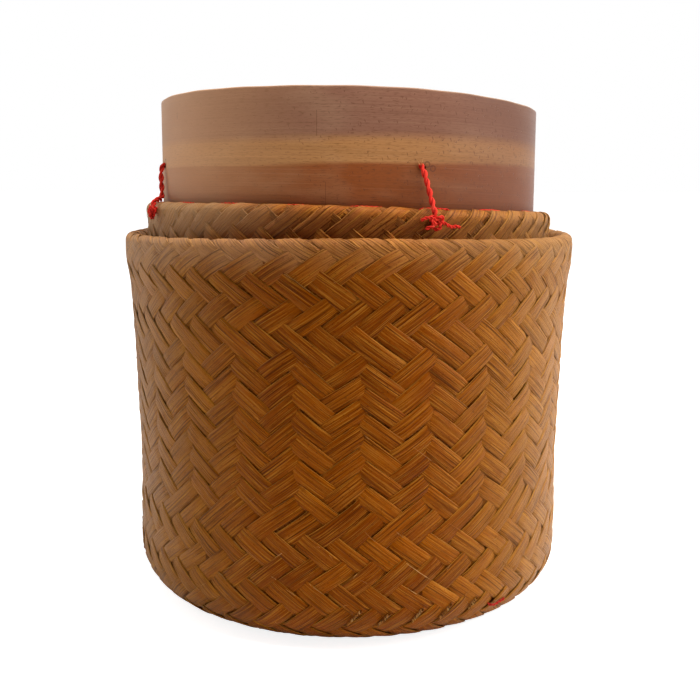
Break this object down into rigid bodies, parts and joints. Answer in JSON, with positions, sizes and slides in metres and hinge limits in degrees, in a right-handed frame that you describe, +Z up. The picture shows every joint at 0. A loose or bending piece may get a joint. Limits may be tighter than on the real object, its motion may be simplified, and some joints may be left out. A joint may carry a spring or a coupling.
{
  "type": "tea caddy",
  "caption": "Round lidded caddy of plaited bamboo strips: an outer basket, an inner basket pushed into it mouth down, and a bentwood ring tied on top with red thread.",
  "frame": {"origin": "centre of the outer basket's base, on the surface it stands on", "axes": "+Z up along the baskets' shared axis; -Y towards the front, which is 20 degrees to the left of a ring tie; +X to the right"},
  "size_m": [0.1632, 0.1632, 0.1758],
  "materials": {
    "aged_bamboo": "plaited strips, aged brown, satin",
    "lining_bamboo": "plaited strips, less darkened, satin",
    "bent_wood": "bent strip, fine grain along it, bare and worn",
    "red_thread": "twisted two-ply cotton"
  },
  "bodies": {
    "outer_basket": {"outer_wall": "aged_bamboo", "outer_lining": "lining_bamboo", "outer_base_panel": "aged_bamboo", "outer_floor_panel": "lining_bamboo", "outer_base_stitching": "red_thread"},
    "inner_basket": {"inner_wall": "aged_bamboo", "inner_lining": "lining_bamboo", "inner_end_panel": "aged_bamboo", "inner_ceiling_panel": "lining_bamboo", "inner_end_stitching": "red_thread", "bentwood_ring": "bent_wood", "ring_lacing": "red_thread", "ring_tie_front": "red_thread", "ring_tie_right": "red_thread", "ring_tie_back": "red_thread", "ring_tie_left": "red_thread"}
  },
  "joints": [
    {"name": "inner_basket_lift", "type": "slide", "parent": "outer_basket", "child": "inner_basket", "axis": [0, 0, 1], "range_m": [0, 0.14]}
  ]
}
